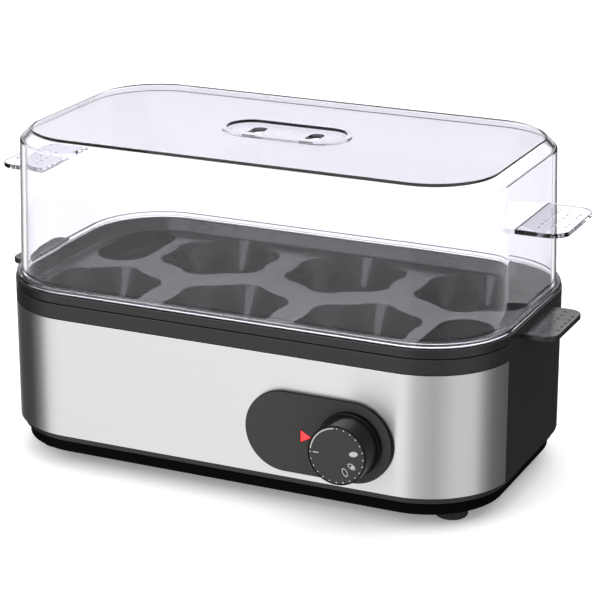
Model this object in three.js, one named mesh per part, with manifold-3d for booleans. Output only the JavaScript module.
// A six-egg cooker: a heated water pan in a black housing with a steel fascia, an egg rack that
// lifts out of it, a clear lid that lifts off the rack, and one control knob on the front.
// Millimetres, +Z up, the front faces -Y, X runs along the length, and the feet stand on z = 0.

import * as THREE from "three";
import { mergeVertices } from "three/addons/utils/BufferGeometryUtils.js";
import Module from "manifold-3d";

const wasm = await Module();
wasm.setup();

// ---- Driving dimensions ------------------------------------------------------------------

// Plan outline of the body, shared by the base, housing, fascia, rack and lid.
const bodyLength = 205;
const bodyDepth = 115;
const cornerRadius = 33.4;

// Heights, each written as the thickness of one layer on top of the one below it.
const footHeight = 5.3;
const baseHeight = 7.6;
const fasciaHeight = 47.9;
const housingRimHeight = 6.1;
const rackRimHeight = 3.8;
const lidHeight = 58.9;

// Gaps between pieces that touch, slide or screw together.
const gap = 0.3;
const screwGap = 0.4;

// Base cover.
const baseInset = 3.5;
const baseWall = 2.2;
const baseLedge = 2.0;
const baseEdge = 0.8;
const baseBossWall = 1.2;
const baseSlotPitch = 11;
const baseSlotHalfWidth = 1.5;
const baseSlotHalfLength = 17;

// Housing shell.
const housingWall = 2.4;
const panShelfDrop = 10.9;
const panShelfWidth = 4;
const panShelfThickness = 1.8;
const bossRadius = 6.2;
const bossInset = 7.6;
const bossAngle = THREE.MathUtils.degToRad(65);

// Steel fascia, wrapped round the front and most of both front corners.
const fasciaThickness = 0.8;
const fasciaWrapDegrees = 82;

// Control panel, knob and the regulator behind them.
const panelHalfLength = 29.4;
const panelHalfHeight = 15.85;
const panelEndInset = 62.7;
const panelCentreZ = 31.9;
const panelProud = 1.8;
const panelLip = 2.2;
const panelPlugWall = 1.6;
const knobOffsetX = 13.4;
const knobBaseRadius = 12.4;
const knobFaceRadius = 11.1;
const knobReach = 14.9;
const knobSkirtThickness = 2.4;
const knobEdge = 0.6;
const knobStandOff = 0.5;
const knobRoom = 1.4;
const shaftSetback = 3;
const shaftFlat = 0.5;
const shaftRadius = 3;
const bushRadius = 4.6;
const nutRadius = 7;
const nutThickness = 2;
const regulatorLength = 28;
const regulatorHeight = 19;
const regulatorDepth = 15;
const regulatorTagPitch = 9;
const regulatorTagDrop = 5;
const lensLength = 4.4;
const lensHeight = 4.8;
const lensOffsetX = -6.8;
const lensDrop = 0.7;
const lensProud = 0.25;
const lampRadius = 2.2;
const lampLength = 11;
const lampLeadLength = 5;
const lampSleeveWall = 1.4;
const lampSleeveLength = 7;

// Egg rack.
const rackRimWidth = 5;
const trayDrop = 4.9;
const trayThickness = 1.8;
const rackSkirtWall = 1.8;
const rackSkirtClearance = 0.3;
const seatPitch = 55;
const seatRowY = 25.6;
const seatTopRadius = 23.6;
const seatBottomRadius = 19;
const seatHoleRadius = 11;
const seatDepth = 11;
const seatWall = 1.5;
const wellWidth = 22;
const wellLength = 43;
const wellEndInset = 22.5;
const wellFrontInset = 32;
const wellDepth = 6;
const rackTabReach = 13;
const rackTabHalfWidth = 17;
const rackTabThickness = 2.3;
const rackTabDrop = 2.8;
const rackTabRoot = 4;
const rackTabCorner = 5;
const rackGussetShare = 0.45;
const tabNotchDepth = 3.8;

// Clear lid.
const lidFlangeInset = 0.5;
const lidFlangeThickness = 1.7;
const lidWallInset = 2.3;
const lidWallLean = 1.4;
const lidChamfer = 4.5;
const lidWall = 1.8;
const lidTabReach = 15.6;
const lidTabHalfWidth = 19;
const lidTabCorner = 7;
const lidTabThickness = 1.8;
const lidTabDrop = 21.9;
const ventRecessLength = 49;
const ventRecessWidth = 19;
const ventRecessDepth = 1.2;
const ventWidth = 5.6;
const ventLength = 12.4;
const ventOffsetX = 12;
const ventNearEdge = 0.6;

// Water pan, heater and what holds them.
const panInset = 7;
const panDraft = 2;
const panDepth = 14;
const panWall = 1.2;
const panFlangeThickness = 1;
const sealThickness = 1.2;
const elementRadius = 3.2;
const elementEndInset = 44.5;
const elementSpread = 22;
const studRadius = 1.8;
const studEndInset = 23.5;
const studClearance = 2;
const shieldGap = 12.6;
const shieldThickness = 0.8;
const shieldMargin = 6;
const clampWidth = 12;
const clampThickness = 1.5;
const cutoutRadius = 8;
const cutoutHeight = 6;
const cutoutX = -26;
const elementTailReach = 6;
const elementTailDrop = 9;
const studNutRadius = 3.6;
const studNutHeight = 2.4;
const tagHalfThickness = 0.4;
const cutoutTagX = 6;
const cutoutTagReach = 2;

// Feet, screws, cord gland and wiring.
const footRadius = 6.5;
const footInsetX = 18.5;
const footInsetY = 21.5;
const footStemRadius = 2.4;
const footBarbRadius = 3.6;
const footBarbHeight = 1.8;
const footEdge = 0.7;
const screwRadius = 1.5;
const screwHeadRadius = 2.8;
const screwHeadHeight = 1.6;
const screwLength = 18;
const screwSunk = 0.4;
const screwTip = 1.5;
const glandReach = 2;
const glandRadius = 8;
const glandNeckRadius = 5.8;
const glandBoreRadius = 3.5;
const glandEndInset = 42.5;
const glandZ = 24;
const blockLength = 30;
const blockDepth = 16;
const blockHeight = 14;
const blockPitch = 9;
const blockWellRadius = 2.6;
const blockWellDepth = 4;
const terminalScrewRadius = 2.2;
const terminalScrewHeight = 2.4;
const earthTagThickness = 0.8;
const earthTagLength = 14;
const wireRadius = 1.1;
const wireClearance = 1.2;

// Segments: a quarter of a rounded outline, a full small circle, a full large circle.
const cornerSteps = 4;
const smallCircle = 10;
const largeCircle = 20;

// ---- Levels and places worked out from the dimensions ---------------------------------------

const frontY = -bodyDepth / 2;
const backY = bodyDepth / 2;
const endX = bodyLength / 2;
const baseBottom = footHeight;
const fasciaBottom = baseBottom + baseHeight;
const fasciaTop = fasciaBottom + fasciaHeight;
const housingTop = fasciaTop + housingRimHeight;
const rackTop = housingTop + rackRimHeight;
const lidBottom = rackTop + gap;
const lidTop = rackTop + lidHeight;
const trayTop = rackTop - trayDrop;
const shelfTop = housingTop - panShelfDrop;
const sealBottom = shelfTop + gap;
const panFlangeBottom = sealBottom + sealThickness + gap;
const panFloorTop = panFlangeBottom + panFlangeThickness - panDepth;
const panBottom = panFloorTop - panWall;
const elementHalfLength = endX - elementEndInset;
const studX = endX - studEndInset;
const studY = elementSpread + elementRadius + studRadius + studClearance;
const elementZ = panBottom - 2 * gap - elementRadius;
const shieldTop = panBottom - shieldGap;
const shieldHalfLength = studX + 7;
const shieldHalfDepth = studY + shieldMargin;
const panelCentreX = endX - panelEndInset;
const knobX = panelCentreX + knobOffsetX;
const glandX = endX - glandEndInset;
const wellCentreX = endX - wellEndInset;
const wellCentreY = frontY + wellFrontInset;
const panelFaceY = frontY - panelProud;
const innerFrontY = frontY + housingWall;
const bossX = endX - cornerRadius + (cornerRadius - bossInset) * Math.cos(bossAngle);
const bossY = backY - cornerRadius + (cornerRadius - bossInset) * Math.sin(bossAngle);
const corners = [[1, 1], [-1, 1], [-1, -1], [1, -1]];

// ---- Small helpers ----------------------------------------------------------------------

const cooker = new THREE.Group();

const finishes = {
  blackPlastic: { color: 0x1c1c1d, roughness: 0.42, metalness: 0 },
  blackRubber: { color: 0x111111, roughness: 0.85, metalness: 0 },
  steel: { color: 0xc9c9cb, roughness: 0.3, metalness: 1 },
  clearPlastic: { color: 0xe4e4ee, roughness: 0.05, metalness: 0, transparent: true, opacity: 0.3 },
  redLens: { color: 0xe03034, roughness: 0.2, metalness: 0 },
  coatedMetal: { color: 0x3a3a3c, roughness: 0.5, metalness: 0.6 },
  whitePlastic: { color: 0xdedbd2, roughness: 0.5, metalness: 0 },
  brass: { color: 0xb8954a, roughness: 0.35, metalness: 1 },
  copperWire: { color: 0x8c2f25, roughness: 0.6, metalness: 0 },
};

// A closed geometry as a manifold-3d solid.
function solid(geometry) {
  const bare = geometry.clone();
  bare.deleteAttribute("normal");
  bare.deleteAttribute("uv");
  const merged = mergeVertices(bare, 1e-4);
  return new wasm.Manifold(new wasm.Mesh({
    numProp: 3,
    vertProperties: merged.attributes.position.array,
    triVerts: new Uint32Array(merged.index.array),
  }));
}

// Adds a solid to the model as one named mesh, in the group of the part that it moves with.
function addMesh(name, piece, finish, group = cooker) {
  const made = piece.getMesh();
  const geometry = new THREE.BufferGeometry();
  geometry.setAttribute("position", new THREE.BufferAttribute(new Float32Array(made.vertProperties), 3));
  geometry.setIndex(new THREE.BufferAttribute(new Uint32Array(made.triVerts), 1));
  geometry.computeVertexNormals();
  const mesh = new THREE.Mesh(geometry, new THREE.MeshStandardMaterial(finishes[finish]));
  mesh.name = name;
  group.add(mesh);
}

function union(pieces) {
  return pieces.reduce((whole, piece) => whole.add(piece));
}

// A rectangle with round corners, centred on the origin.
function roundedRectangle(length, depth, radius) {
  const x = length / 2 - radius;
  const y = depth / 2 - radius;
  const shape = new THREE.Shape();
  shape.absarc(x, y, radius, 0, Math.PI / 2);
  shape.absarc(-x, y, radius, Math.PI / 2, Math.PI);
  shape.absarc(-x, -y, radius, Math.PI, 1.5 * Math.PI);
  shape.absarc(x, -y, radius, 1.5 * Math.PI, 2 * Math.PI);
  return shape;
}

// A bar with half-round ends, lying along X.
function stadium(halfLength, radius) {
  const shape = new THREE.Shape();
  shape.absarc(halfLength - radius, 0, radius, -Math.PI / 2, Math.PI / 2);
  shape.absarc(radius - halfLength, 0, radius, Math.PI / 2, 1.5 * Math.PI);
  return shape;
}

// The plan outline of the body, moved inwards by an inset.
function bodyOutline(inset) {
  return roundedRectangle(bodyLength - 2 * inset, bodyDepth - 2 * inset, cornerRadius - inset);
}

// A flat shape raised from one height to another.
function prism(shape, bottom, top, steps = cornerSteps) {
  const settings = { depth: top - bottom, bevelEnabled: false, curveSegments: steps };
  return solid(new THREE.ExtrudeGeometry(shape, settings)).translate([0, 0, bottom]);
}

// A flat shape drawn in X and Z, run along Y from one depth to another.
function prismAlongY(shape, nearY, farY, steps = cornerSteps) {
  return prism(shape, -farY, -nearY, steps).rotate([90, 0, 0]);
}

// A solid through body outlines of different insets, one per level: [height, inset].
function stackedOutlines(levels) {
  const rings = levels.map(([z, inset]) => {
    return bodyOutline(inset).getPoints(cornerSteps).slice(0, -1).map((p) => [p.x, p.y, z]);
  });
  const count = rings[0].length;
  const faces = [];
  rings.slice(1).forEach((ring, level) => {
    for (let i = 0; i < count; i += 1) {
      const a = level * count + i;
      const b = level * count + ((i + 1) % count);
      faces.push(a, b, b + count, a, b + count, a + count);
    }
  });
  const topStart = (rings.length - 1) * count;
  for (let i = 1; i < count - 1; i += 1) {
    faces.push(0, i + 1, i);
    faces.push(topStart, topStart + i, topStart + i + 1);
  }
  const geometry = new THREE.BufferGeometry();
  geometry.setAttribute("position", new THREE.Float32BufferAttribute(rings.flat(2), 3));
  geometry.setIndex(faces);
  return solid(geometry);
}

// A wall that follows the body outline, between two insets and two heights.
function outlineWall(outerInset, innerInset, bottom, top) {
  const core = prism(bodyOutline(innerInset), bottom - 1, top + 1);
  return prism(bodyOutline(outerInset), bottom, top).subtract(core);
}

function box(low, high) {
  const size = low.map((value, axis) => high[axis] - value);
  const geometry = new THREE.BoxGeometry(...size);
  geometry.translate(...low.map((value, axis) => (value + high[axis]) / 2));
  return solid(geometry);
}

// A solid of revolution about Z from [radius, height] points that start and end on the axis.
function turned(profile, steps) {
  return solid(new THREE.LatheGeometry(profile.map(([r, z]) => new THREE.Vector2(r, z)), steps)
    .rotateX(Math.PI / 2));
}

function cylinder(radius, bottom, top, steps = smallCircle) {
  return turned([[0, bottom], [radius, bottom], [radius, top], [0, top]], steps);
}

function cylinderAlongY(radius, nearY, farY, steps = smallCircle) {
  return cylinder(radius, -farY, -nearY, steps).rotate([90, 0, 0]);
}

// A round tube of one radius along a smooth path through the points given.
function rod(points, radius, steps, sides = 8) {
  const curve = new THREE.CatmullRomCurve3(points.map((p) => new THREE.Vector3(...p)), false, "centripetal");
  const section = new THREE.Shape();
  section.absarc(0, 0, radius, 0, 2 * Math.PI);
  const settings = { steps, bevelEnabled: false, extrudePath: curve, curveSegments: sides / 2 };
  return solid(new THREE.ExtrudeGeometry(section, settings));
}

// Half-space blocks larger than the object, for trimming.
const far = bodyLength + bodyDepth;
const everythingInFrontOf = (y) => box([-far, -far, -far], [far, y, far]);

// ---- Base cover, feet and screws --------------------------------------------------------------

const footPlaces = corners.map(([sx, sy]) => [sx * (endX - footInsetX), sy * (backY - footInsetY)]);
const screwPlaces = corners.map(([sx, sy]) => [sx * bossX, sy * bossY]);
const cornerNames = ["back_right", "back_left", "front_left", "front_right"];

function makeBaseCover() {
  const top = fasciaBottom - gap;
  const floorTop = baseBottom + baseWall;
  const outside = stackedOutlines([
    [baseBottom, baseInset + baseEdge],
    [baseBottom + baseEdge, baseInset],
    [top - baseLedge, baseInset],
    [top, baseInset - baseLedge],
  ]);
  const hollow = prism(bodyOutline(baseInset + baseWall), floorTop, top + 1);
  const bosses = screwPlaces.map(([x, y]) => {
    return cylinder(screwHeadRadius + baseBossWall, baseBottom + 1, top, smallCircle).translate([x, y, 0]);
  });
  const screwHoles = screwPlaces.map(([x, y]) => {
    const shankHole = cylinder(screwRadius + screwGap, baseBottom - 1, top + 1);
    const headHole = cylinder(screwHeadRadius + screwGap, baseBottom - 1, baseBottom + screwHeadHeight + gap);
    return shankHole.add(headHole).translate([x, y, 0]);
  });
  const footHoles = footPlaces.map(([x, y]) => {
    return cylinder(footStemRadius + gap, baseBottom - 1, floorTop + 1).translate([x, y, 0]);
  });
  const slots = [-3, -2, -1, 0, 1, 2, 3].map((step) => {
    const x = step * baseSlotPitch;
    return box([x - baseSlotHalfWidth, -baseSlotHalfLength, baseBottom - 1],
      [x + baseSlotHalfWidth, baseSlotHalfLength, floorTop + 1]);
  });
  const shell = union([outside.subtract(hollow), ...bosses]);
  return shell.subtract(union([...screwHoles, ...footHoles, ...slots]));
}

function makeFoot([x, y]) {
  const padTop = footHeight - gap;
  const barbBottom = baseBottom + baseWall + gap;
  return turned([
    [0, 0], [footRadius - footEdge, 0], [footRadius, footEdge], [footRadius, padTop],
    [footStemRadius, padTop], [footStemRadius, barbBottom], [footBarbRadius, barbBottom],
    [footStemRadius - footEdge, barbBottom + footBarbHeight], [0, barbBottom + footBarbHeight],
  ], smallCircle).translate([x, y, 0]);
}

function makeScrew([x, y]) {
  const headTop = baseBottom + screwHeadHeight;
  return turned([
    [0, baseBottom + screwSunk], [screwHeadRadius, baseBottom + screwSunk], [screwHeadRadius, headTop],
    [screwRadius, headTop], [screwRadius, headTop + screwLength - screwTip], [0, headTop + screwLength],
  ], smallCircle).translate([x, y, 0]);
}

addMesh("base_cover", makeBaseCover(), "blackPlastic");
footPlaces.forEach((place, i) => addMesh("foot_" + cornerNames[i], makeFoot(place), "blackRubber"));
screwPlaces.forEach((place, i) => addMesh("base_screw_" + cornerNames[i], makeScrew(place), "steel"));

// ---- Housing and steel fascia -----------------------------------------------------------------

const wrapAngle = THREE.MathUtils.degToRad(fasciaWrapDegrees);
const fasciaEndY = frontY + cornerRadius - cornerRadius * Math.cos(wrapAngle);
const knobAxis = [knobX, 0, panelCentreZ];

// The panel's plug fits a hole of this size in the fascia and in the housing wall.
function panelOpening(inset, nearY, farY) {
  const shape = stadium(panelHalfLength - inset, panelHalfHeight - inset);
  return prismAlongY(shape, nearY, farY, 2 * cornerSteps).translate([panelCentreX, 0, panelCentreZ]);
}

function makeHousing() {
  const shell = outlineWall(0, housingWall, fasciaBottom, housingTop);
  const shelf = outlineWall(1, housingWall + panShelfWidth, shelfTop - panShelfThickness, shelfTop);
  const bosses = screwPlaces.map(([x, y]) => {
    return cylinder(bossRadius, fasciaBottom + gap, panBottom - 1, smallCircle).translate([x, y, 0]);
  });
  const screwHoles = screwPlaces.map(([x, y]) => {
    const depth = baseBottom + screwHeadHeight + screwLength + 1;
    return cylinder(screwRadius + gap, 0, depth).translate([x, y, 0]);
  });
  const cut = fasciaThickness + gap;
  const fasciaSeat = outlineWall(-1, cut, fasciaBottom - 1, fasciaTop + gap)
    .intersect(everythingInFrontOf(fasciaEndY + gap));
  const opening = panelOpening(panelLip, frontY - 1, innerFrontY + 1);
  const glandHole = cylinderAlongY(glandNeckRadius + gap, backY - housingWall - 1, backY + 1, largeCircle)
    .translate([glandX, 0, glandZ]);
  const notchHalf = rackTabHalfWidth + gap;
  const notches = box([-far, -notchHalf, housingTop - tabNotchDepth], [far, notchHalf, housingTop + 1]);
  const trimmed = shell.add(shelf).add(union(bosses).intersect(prism(bodyOutline(1), 0, lidTop)));
  return trimmed.subtract(union([fasciaSeat, opening, glandHole, notches, ...screwHoles]));
}

function makeFascia() {
  const sheet = outlineWall(0, fasciaThickness, fasciaBottom + gap, fasciaTop);
  const wrapped = sheet.intersect(everythingInFrontOf(fasciaEndY));
  return wrapped.subtract(panelOpening(panelLip, frontY - 1, innerFrontY + 1));
}

addMesh("main_housing", makeHousing(), "blackPlastic");
addMesh("front_fascia", makeFascia(), "steel");

// ---- Control panel, knob, regulator and indicator ------------------------------------------------

// A triangle that points along +X, with its centre at half its length.
function pointerShape(length, height) {
  const shape = new THREE.Shape();
  shape.moveTo(-length / 2, -height / 2);
  shape.lineTo(length / 2, 0);
  shape.lineTo(-length / 2, height / 2);
  shape.closePath();
  return shape;
}

const lensPlace = [panelCentreX + lensOffsetX + lensLength / 2, 0, panelCentreZ - lensDrop];
const plateBackY = frontY - gap;
const bushEndY = panelFaceY - nutThickness - 2 * gap;

function makePanel() {
  const plateShape = stadium(panelHalfLength, panelHalfHeight);
  const plate = prismAlongY(plateShape, panelFaceY, plateBackY, 2 * cornerSteps);
  const plugInset = panelLip + gap;
  const plugShape = stadium(panelHalfLength - plugInset, panelHalfHeight - plugInset);
  const boreInset = plugInset + panelPlugWall;
  const plugBore = stadium(panelHalfLength - boreInset, panelHalfHeight - boreInset);
  const plug = prismAlongY(plugShape, plateBackY - gap / 2, innerFrontY, 2 * cornerSteps)
    .subtract(prismAlongY(plugBore, plateBackY, innerFrontY + 1, 2 * cornerSteps));
  const body = plate.add(plug).translate([panelCentreX, 0, panelCentreZ]);
  const shaftHole = cylinderAlongY(bushRadius + gap, panelFaceY - 1, innerFrontY, largeCircle)
    .translate(knobAxis);
  const windowShape = pointerShape(lensLength + 2 * gap, lensHeight + 2 * gap);
  const window = prismAlongY(windowShape, panelFaceY - 1, innerFrontY).translate(lensPlace);
  return body.subtract(shaftHole).subtract(window);
}

function makeNut() {
  const hexagon = cylinder(nutRadius, 0, nutThickness, 6);
  const bore = cylinder(bushRadius + gap, -1, nutThickness + 1);
  return hexagon.subtract(bore).rotate([90, 0, 0]).translate([knobX, panelFaceY - gap, panelCentreZ]);
}

function makeRegulator() {
  const nearY = innerFrontY + 1;
  const farY = nearY + regulatorDepth;
  const half = regulatorLength / 2;
  const bottom = -regulatorHeight / 2;
  const body = box([-half, nearY, bottom], [half, farY, regulatorHeight / 2]);
  const bush = cylinderAlongY(bushRadius, bushEndY, nearY + 1);
  const terminals = [-1, 0, 1].map((step) => {
    return box([-2.4, farY - 1, bottom - regulatorTagDrop], [2.4, farY - 0.2, bottom + 2])
      .translate([step * regulatorTagPitch, 0, 0]);
  });
  const bore = cylinderAlongY(shaftRadius + gap, bushEndY - 1, nearY + 8);
  return union([body, bush, ...terminals]).subtract(bore).translate(knobAxis);
}

const shaftEndY = frontY - knobReach + shaftSetback;

function makeShaft(radius, nearY, farY) {
  const round = cylinderAlongY(radius, nearY, farY);
  const flat = box([-radius - 1, nearY - 1, radius * shaftFlat], [radius + 1, panelFaceY - 5, radius + 1]);
  return round.subtract(flat);
}

function makeKnob() {
  const back = -(panelFaceY - knobStandOff);
  const face = -(frontY - knobReach);
  const skirtFront = back + knobSkirtThickness;
  const nutRoom = back + nutThickness + knobRoom;
  const outside = turned([
    [0, back], [knobBaseRadius, back], [knobBaseRadius, skirtFront - knobEdge],
    [knobBaseRadius - knobEdge, skirtFront], [knobFaceRadius + knobEdge, skirtFront],
    [knobFaceRadius, face - knobEdge], [knobFaceRadius - knobEdge, face], [0, face],
  ], largeCircle);
  const recess = cylinder(nutRadius + 1, back - 1, nutRoom, largeCircle);
  const bore = makeShaft(shaftRadius + gap, shaftEndY - gap, 0);
  return outside.subtract(recess).rotate([90, 0, 0]).subtract(bore).translate(knobAxis);
}

function makeLens() {
  return prismAlongY(pointerShape(lensLength, lensHeight), panelFaceY - lensProud, innerFrontY)
    .translate(lensPlace);
}

function makeLamp() {
  const nearY = innerFrontY + 2 * gap;
  const farY = nearY + lampLength;
  const glass = cylinderAlongY(lampRadius, nearY, farY);
  const lead = cylinderAlongY(tagHalfThickness, farY - 1, farY + lampLeadLength, 6);
  const leads = [-1, 1].map((side) => lead.translate([side, 0, 0]));
  return union([glass, ...leads]).translate(lensPlace);
}

function makeLampHolder() {
  const nearY = innerFrontY + gap;
  const sleeveStart = nearY + 1;
  const sleeveEnd = sleeveStart + lampSleeveLength;
  const sleeve = cylinderAlongY(lampRadius + gap + lampSleeveWall, sleeveStart, sleeveEnd);
  const flange = box([-3, sleeveStart, -6.5], [3, sleeveStart + 1.2, 6.5]);
  const bore = cylinderAlongY(lampRadius + gap, nearY, sleeveEnd + 1);
  return sleeve.add(flange).subtract(bore).translate(lensPlace);
}

const knobGroup = new THREE.Group();
addMesh("control_panel", makePanel(), "blackPlastic");
addMesh("regulator_nut", makeNut(), "steel");
addMesh("heat_regulator", makeRegulator(), "whitePlastic");
const shaft = makeShaft(shaftRadius, shaftEndY, innerFrontY + 8).translate(knobAxis);
addMesh("knob_shaft", shaft, "steel", knobGroup);
addMesh("control_knob", makeKnob(), "blackPlastic", knobGroup);
addMesh("indicator_lens", makeLens(), "redLens");
addMesh("indicator_lamp", makeLamp(), "clearPlastic");
addMesh("lamp_holder", makeLampHolder(), "whitePlastic");

// ---- Water pan, heater and heat shield --------------------------------------------------------------

const studPlaces = [[studX, 0], [0, studY], [-studX, 0], [0, -studY]];
const studNames = ["right", "back", "left", "front"];
const studBottom = shieldTop - shieldThickness - 5;

function makePan() {
  const flangeTop = panFlangeBottom + panFlangeThickness;
  const outside = stackedOutlines([
    [panBottom, panInset + panDraft],
    [flangeTop, panInset],
  ]);
  const inside = stackedOutlines([
    [panFloorTop, panInset + panDraft + panWall],
    [flangeTop + 1, panInset + panWall],
  ]);
  const flange = outlineWall(housingWall + gap, panInset + panWall / 2, panFlangeBottom, flangeTop);
  const studs = studPlaces.map(([x, y]) => {
    return cylinder(studRadius, studBottom, panBottom + panWall / 2).translate([x, y, 0]);
  });
  return union([outside, flange, ...studs]).subtract(inside);
}

function makeElement() {
  const tailX = -elementHalfLength - elementTailReach;
  const dropZ = elementZ - elementTailDrop;
  const leg = (side, x, z = elementZ) => [x, side * elementSpread, z];
  const bend = [-60, -30, 0, 30, 60].map((degrees) => {
    const angle = THREE.MathUtils.degToRad(degrees);
    return [elementHalfLength - elementSpread + elementSpread * Math.cos(angle),
      elementSpread * Math.sin(angle), elementZ];
  });
  const half = (side) => [
    leg(side, tailX, dropZ), leg(side, tailX, dropZ + 4), leg(side, tailX + 4, elementZ),
    leg(side, tailX + 12), leg(side, 0), leg(side, elementHalfLength - elementSpread),
  ];
  return rod([...half(-1), ...bend, ...half(1).reverse()], elementRadius, 44);
}

// A strap over both legs of the heater, lying on the heat shield side, with a stud hole each end.
function makeClamp() {
  const top = elementZ - elementRadius - gap;
  const half = clampWidth / 2;
  const strap = box([-half, -studY - 4, top - clampThickness], [half, studY + 4, top]);
  const holes = [-1, 1].map((side) => cylinder(studRadius + gap, 0, top + 1).translate([0, side * studY, 0]));
  return strap.subtract(union(holes));
}

function makeShield() {
  const plate = roundedRectangle(2 * shieldHalfLength, 2 * shieldHalfDepth, cornerRadius / 2);
  const holes = studPlaces.map(([x, y]) => {
    return cylinder(studRadius + gap, shieldTop - 3, shieldTop + 1).translate([x, y, 0]);
  });
  const tails = [-1, 1].map((side) => {
    const around = cylinder(elementRadius + 2, shieldTop - 3, shieldTop + 1);
    return around.translate([-elementHalfLength - elementTailReach, side * elementSpread, 0]);
  });
  const leadHole = cylinder(cutoutRadius + 2, shieldTop - 3, shieldTop + 1).translate([cutoutX, 0, 0]);
  return prism(plate, shieldTop - shieldThickness, shieldTop)
    .subtract(union([...holes, ...tails, leadHole]));
}

function makeStudNut([x, y]) {
  const top = shieldTop - shieldThickness - gap;
  const hexagon = cylinder(studNutRadius, top - studNutHeight, top, 6);
  return hexagon.subtract(cylinder(studRadius + gap, top - 4, top + 1)).translate([x, y, 0]);
}

function makeCutout() {
  const top = panBottom - gap;
  const can = cylinder(cutoutRadius, top - cutoutHeight, top, largeCircle);
  const canBottom = top - cutoutHeight;
  const tag = box([-2, -tagHalfThickness, canBottom - cutoutTagReach], [2, tagHalfThickness, canBottom + 1]);
  const tags = [-1, 1].map((side) => tag.translate([side * cutoutTagX, 0, 0]));
  return union([can, ...tags]).translate([cutoutX, 0, 0]);
}

addMesh("water_pan", makePan(), "coatedMetal");
addMesh("pan_seal", outlineWall(housingWall + gap, housingWall + panShelfWidth - 1, sealBottom,
  sealBottom + sealThickness), "whitePlastic");
addMesh("heating_element", makeElement(), "steel");
addMesh("element_clamp", makeClamp(), "steel");
addMesh("heat_shield", makeShield(), "steel");
studPlaces.forEach((place, i) => addMesh("stud_nut_" + studNames[i], makeStudNut(place), "steel"));
addMesh("thermal_cutout", makeCutout(), "coatedMetal");

// ---- Cord gland, terminal block and wiring ------------------------------------------------------------

const blockPlace = [glandX - 8, backY - 27, baseBottom + baseWall + gap];
const blockTop = blockPlace[2] + blockHeight;

function makeGland() {
  const wallOut = backY + gap;
  const wallIn = backY - housingWall - gap;
  const neck = cylinderAlongY(glandNeckRadius, wallIn - 1, wallOut + 1, largeCircle);
  const flange = cylinderAlongY(glandRadius, wallOut, backY + glandReach, largeCircle);
  const collar = cylinderAlongY(glandRadius, wallIn - glandReach, wallIn, largeCircle);
  const bore = cylinderAlongY(glandBoreRadius, wallIn - 9, wallOut + 9, smallCircle);
  return union([neck, flange, collar]).subtract(bore).translate([glandX, 0, glandZ]);
}

function makeTerminalBlock() {
  const half = blockLength / 2;
  const body = box([-half, 0, 0], [half, blockDepth, blockHeight]);
  const wells = [-1, 0, 1].map((step) => {
    return cylinder(blockWellRadius, blockHeight - blockWellDepth, blockHeight + 1)
      .translate([step * blockPitch, blockDepth / 2, 0]);
  });
  return body.subtract(union(wells)).translate(blockPlace);
}

function makeTerminalScrew(step) {
  const [x, y] = blockPlace;
  const slotBottom = terminalScrewHeight - 2 * tagHalfThickness;
  const slot = box([-3, -tagHalfThickness, slotBottom], [3, tagHalfThickness, terminalScrewHeight + 1]);
  return cylinder(terminalScrewRadius, 0, terminalScrewHeight).subtract(slot)
    .translate([x + step * blockPitch, y + blockDepth / 2, blockTop - blockWellDepth + gap]);
}

function makeEarthTag() {
  const [x, y] = studPlaces[0];
  const top = shieldTop - shieldThickness - studNutHeight - 3 * gap;
  const bottom = top - earthTagThickness;
  const ring = cylinder(4, bottom, top).add(box([-3, -earthTagLength, bottom], [3, -3, top]));
  return ring.subtract(cylinder(studRadius + gap, top - 2, top + 1)).translate([x, y, 0]);
}

// Wires run low over the base floor and rise to their tags.
const wireFloor = baseBottom + baseWall + wireRadius + wireClearance;
const blockFront = blockPlace[1] - 1;
const regulatorBackY = innerFrontY + 1 + regulatorDepth;
const regulatorTagZ = panelCentreZ - regulatorHeight / 2 - regulatorTagDrop - gap;
const regulatorTagY = regulatorBackY - 2 * gap;
const elementTail = [-elementHalfLength - elementTailReach, elementSpread, elementZ - elementTailDrop - gap];
const cutoutTagZ = panBottom - cutoutHeight - cutoutTagReach - 2 * gap;
const earthTagZ = shieldTop - shieldThickness - studNutHeight - earthTagThickness - 4 * gap;
const liveTagX = knobX + regulatorTagPitch;
const feedTagX = knobX - regulatorTagPitch;
const [blockX] = blockPlace;
const wirePaths = {
  wire_live: [
    [blockX, blockFront, wireFloor + 4], [blockX, blockFront - 6, wireFloor],
    [knobX + 6, 0, wireFloor], [liveTagX, regulatorBackY + 4, wireFloor],
    [liveTagX, regulatorTagY, wireFloor + 3], [liveTagX, regulatorTagY, regulatorTagZ],
  ],
  wire_heater_feed: [
    [feedTagX, regulatorTagY, regulatorTagZ], [feedTagX, regulatorTagY, wireFloor + 3],
    [knobX - 14, regulatorBackY + 5, wireFloor], [-10, -26, wireFloor], [-52, -26, wireFloor],
    [elementTail[0], -elementTail[1], wireFloor + 4], [elementTail[0], -elementTail[1], elementTail[2]],
  ],
  wire_neutral: [
    [blockX - blockPitch, blockFront, wireFloor + 4], [blockX - 10, blockFront - 5, wireFloor + 1],
    [10, 22, wireFloor], [-18, 8, wireFloor],
    [cutoutX + cutoutTagX, 0, wireFloor + 4], [cutoutX + cutoutTagX, 0, cutoutTagZ],
  ],
  wire_cutout_return: [
    [cutoutX - cutoutTagX, 0, cutoutTagZ], [cutoutX - cutoutTagX, 0, wireFloor + 4], [-36, 8, wireFloor],
    [-52, elementTail[1], wireFloor],
    [elementTail[0], elementTail[1], wireFloor + 4], elementTail,
  ],
  wire_earth: [
    [blockX + blockPitch, blockFront, wireFloor + 4], [blockX + 12, blockFront - 5, wireFloor + 1],
    [studX, 12, wireFloor], [studX, -8, wireFloor], [studX, -12, wireFloor + 3],
    [studX, -12, earthTagZ],
  ],
};

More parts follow.
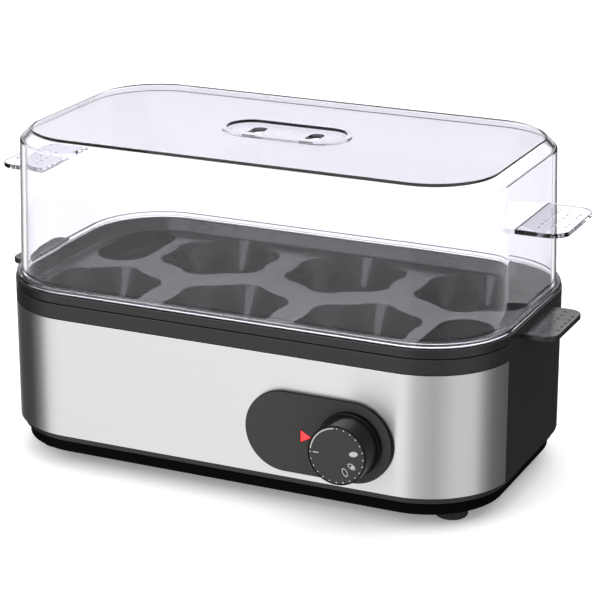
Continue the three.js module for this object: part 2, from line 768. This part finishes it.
addMesh("cord_gland", makeGland(), "blackRubber");
addMesh("terminal_block", makeTerminalBlock(), "whitePlastic");
[-1, 0, 1].forEach((step) => addMesh("terminal_screw_" + (step + 2), makeTerminalScrew(step), "brass"));
addMesh("earth_tag", makeEarthTag(), "brass");
Object.entries(wirePaths).forEach(([name, path]) => {
  addMesh(name, rod(path, wireRadius, 24, 6), "copperWire");
});

// ---- Egg rack --------------------------------------------------------------------------------------

// Three seats along the front and three along the back, half a pitch apart.
const seatPlaces = [-1, 1].flatMap((side) => [-1, 0, 1].map((step) => {
  return [step * seatPitch + side * seatPitch / 4, side * seatRowY];
}));
const wellPlaces = [[wellCentreX, wellCentreY], [-wellCentreX, -wellCentreY]];
const trayBottom = trayTop - trayThickness;
const seatFloorTop = trayTop - seatDepth;
const seatFloorBottom = seatFloorTop - seatWall;

function seatCup(grow, bottom, top) {
  return turned([
    [0, bottom], [seatBottomRadius + grow, bottom], [seatTopRadius + grow, top], [0, top],
  ], largeCircle);
}

// A tab's plan outline: straight sides running out from the body to round corners, on the +X side.
function tabShape(rootX, tipX, halfWidth, radius) {
  const shape = new THREE.Shape();
  shape.moveTo(rootX, -halfWidth);
  shape.absarc(tipX - radius, radius - halfWidth, radius, -Math.PI / 2, 0);
  shape.absarc(tipX - radius, halfWidth - radius, radius, 0, Math.PI / 2);
  shape.lineTo(rootX, halfWidth);
  shape.closePath();
  return shape;
}

function bothEnds(piece) {
  return piece.add(piece.rotate([0, 0, 180]));
}

function makeRackTab() {
  const top = rackTop - rackTabDrop;
  const rootX = endX - rackTabRoot;
  const outline = tabShape(rootX, endX + rackTabReach, rackTabHalfWidth, rackTabCorner);
  const plate = prism(outline, top - rackTabThickness, top);
  const fill = prism(bodyOutline(0), housingTop - tabNotchDepth + gap, housingTop + 2 * gap)
    .intersect(box([rootX, -rackTabHalfWidth, 0], [far, rackTabHalfWidth, far]));
  const web = new THREE.Shape();
  web.moveTo(endX - 1, top - 1);
  web.lineTo(endX - 1, housingTop - tabNotchDepth + gap);
  web.lineTo(endX, housingTop - tabNotchDepth + gap);
  web.lineTo(endX + rackTabReach * rackGussetShare, top - 1);
  web.closePath();
  const gusset = prismAlongY(web, -rackTabHalfWidth + 1, rackTabHalfWidth - 1);
  return union([plate, fill, gusset]);
}

function makeRack() {
  const rim = outlineWall(0, rackRimWidth, housingTop + gap, rackTop);
  const skirtOuter = housingWall + gap + rackSkirtClearance;
  const skirtBottom = panFlangeBottom + panFlangeThickness + 1;
  const skirt = outlineWall(skirtOuter, skirtOuter + rackSkirtWall, skirtBottom, housingTop + 1);
  const collar = outlineWall(skirtOuter, rackRimWidth + 1, trayBottom, housingTop + 1);
  const tray = prism(bodyOutline(skirtOuter), trayBottom, trayTop);
  const cup = seatCup(seatWall, seatFloorBottom, trayTop - 0.1);
  const cups = seatPlaces.map(([x, y]) => cup.translate([x, y, 0]));
  const cupHollow = seatCup(0, seatFloorTop, trayTop + 0.05)
    .add(cylinder(seatHoleRadius, 0, lidTop, largeCircle));
  const cupHollows = seatPlaces.map(([x, y]) => cupHollow.translate([x, y, 0]));
  const wellShape = (grow) => stadium(wellLength / 2 + grow, wellWidth / 2 + grow);
  const wellAt = ([x, y], grow, bottom, top) => prism(wellShape(grow), bottom, top).rotate([0, 0, 90])
    .translate([x, y, 0]);
  const wells = wellPlaces.map((place) => wellAt(place, seatWall, trayTop - wellDepth, trayTop - 0.1));
  const wellHollows = wellPlaces.map((place) => wellAt(place, 0, 0, trayTop + 1));
  const inside = prism(bodyOutline(skirtOuter), 0, lidTop);
  const body = union([tray, ...cups, ...wells]).intersect(inside);
  const hollowed = body.subtract(union([...cupHollows, ...wellHollows]));
  return union([hollowed, rim, skirt, collar, bothEnds(makeRackTab())]);
}

// ---- Lid -----------------------------------------------------------------------------------------

function makeLid() {
  const topInset = lidWallInset + lidWallLean;
  const chamferStart = lidTop - lidChamfer;
  const outside = stackedOutlines([
    [lidBottom, lidWallInset], [chamferStart, topInset], [lidTop, topInset + lidChamfer],
  ]);
  const flange = prism(bodyOutline(lidFlangeInset), lidBottom, lidBottom + lidFlangeThickness);
  const innerChamferStart = chamferStart - lidWall * 0.4;
  const hollow = stackedOutlines([
    [lidBottom - 1, lidWallInset + lidWall], [innerChamferStart, topInset + lidWall],
    [lidTop - lidWall, topInset + lidWall + lidTop - lidWall - innerChamferStart],
  ]);
  const tabTop = lidTop - lidTabDrop;
  const tab = prism(tabShape(endX - topInset - 6, endX + lidTabReach, lidTabHalfWidth, lidTabCorner),
    tabTop - lidTabThickness, tabTop);
  const recessShape = stadium(ventRecessLength / 2, ventRecessWidth / 2);
  const recess = prism(recessShape, lidTop - ventRecessDepth, lidTop + 1);
  const recessFloor = prism(stadium(ventRecessLength / 2 + lidWall, ventRecessWidth / 2 + lidWall),
    lidTop - ventRecessDepth - lidWall, lidTop - lidWall / 2);
  const slot = prism(stadium(ventLength / 2, ventWidth / 2), 0, lidTop + 1).rotate([0, 0, 90]);
  const slotY = (ventLength - ventRecessWidth) / 2 + ventNearEdge;
  const slots = [-1, 1].map((side) => slot.translate([side * ventOffsetX, slotY, 0]));
  const shell = union([outside, flange, bothEnds(tab)]).subtract(hollow).add(recessFloor);
  return shell.subtract(union([recess, ...slots]));
}

const rackGroup = new THREE.Group();
const lidGroup = new THREE.Group();
addMesh("egg_rack", makeRack(), "blackPlastic", rackGroup);
addMesh("lid", makeLid(), "clearPlastic", lidGroup);

// The lid lifts off the rack, the rack lifts out of the housing, and the knob turns in it.
rackGroup.add(lidGroup);
cooker.add(rackGroup, knobGroup);

// The origin lies on the floor under the middle of the object's box, from knob face to gland.
cooker.position.y = (knobReach - glandReach) / 2;

export default cooker;
